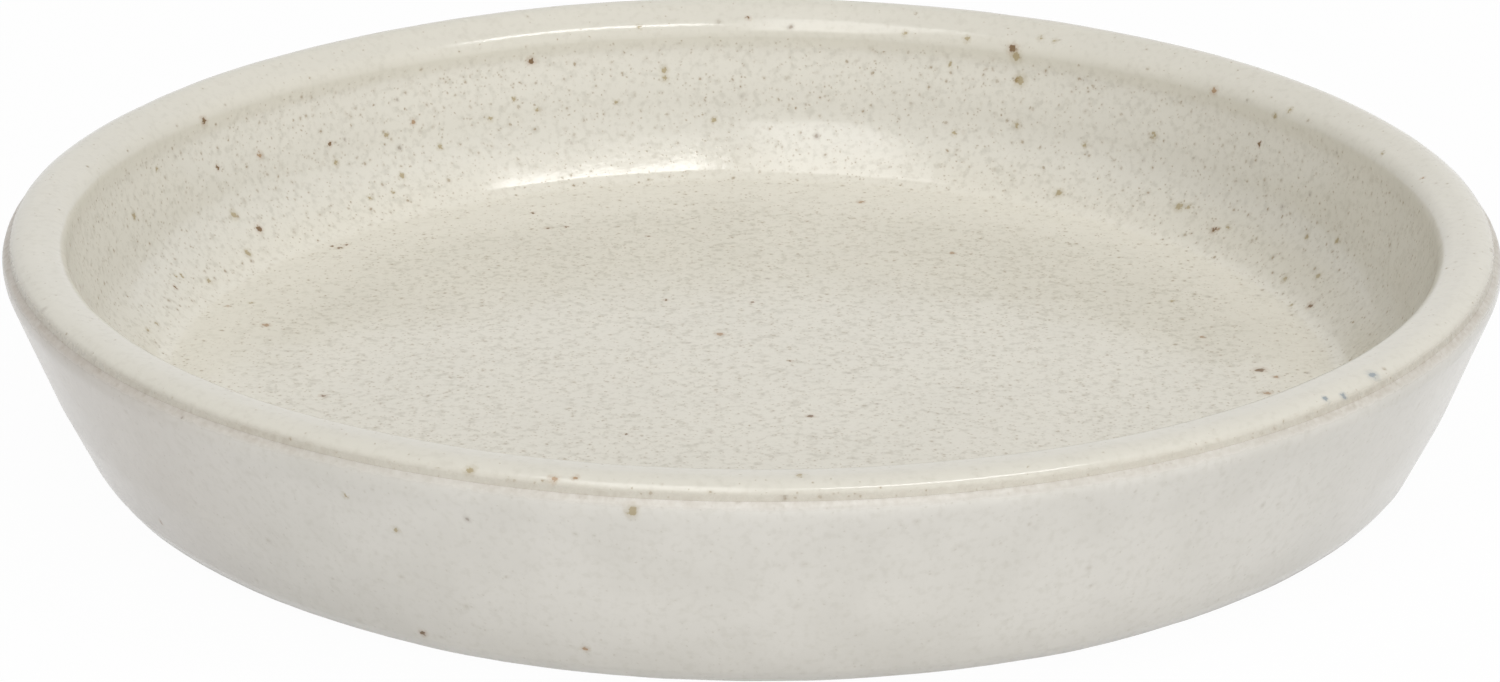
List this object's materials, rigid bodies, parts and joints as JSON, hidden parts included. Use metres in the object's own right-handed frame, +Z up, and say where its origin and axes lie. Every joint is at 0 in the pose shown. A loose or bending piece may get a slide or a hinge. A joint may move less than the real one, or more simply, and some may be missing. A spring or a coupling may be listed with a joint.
{
  "type": "shallow plant bowl",
  "caption": "Shallow round stoneware plant bowl with a flaring wall, broad rounded rim, flat floor, speckled cream glaze inside and out, and a bare turned foot ring.",
  "frame": {"origin": "centre of the circle that the foot ring stands on, at table level", "axes": "+Z up along the bowl's axis of revolution; the bowl is round, so X and Y are any two square directions on the table"},
  "size_m": [0.3, 0.3, 0.0443],
  "materials": {
    "fired_clay": "matte",
    "inside_cream_glaze": "gloss",
    "outside_cream_glaze": "satin"
  },
  "bodies": {
    "root": {"stoneware_body": "fired_clay", "inside_glaze": "inside_cream_glaze", "outside_glaze": "outside_cream_glaze"}
  },
  "joints": []
}
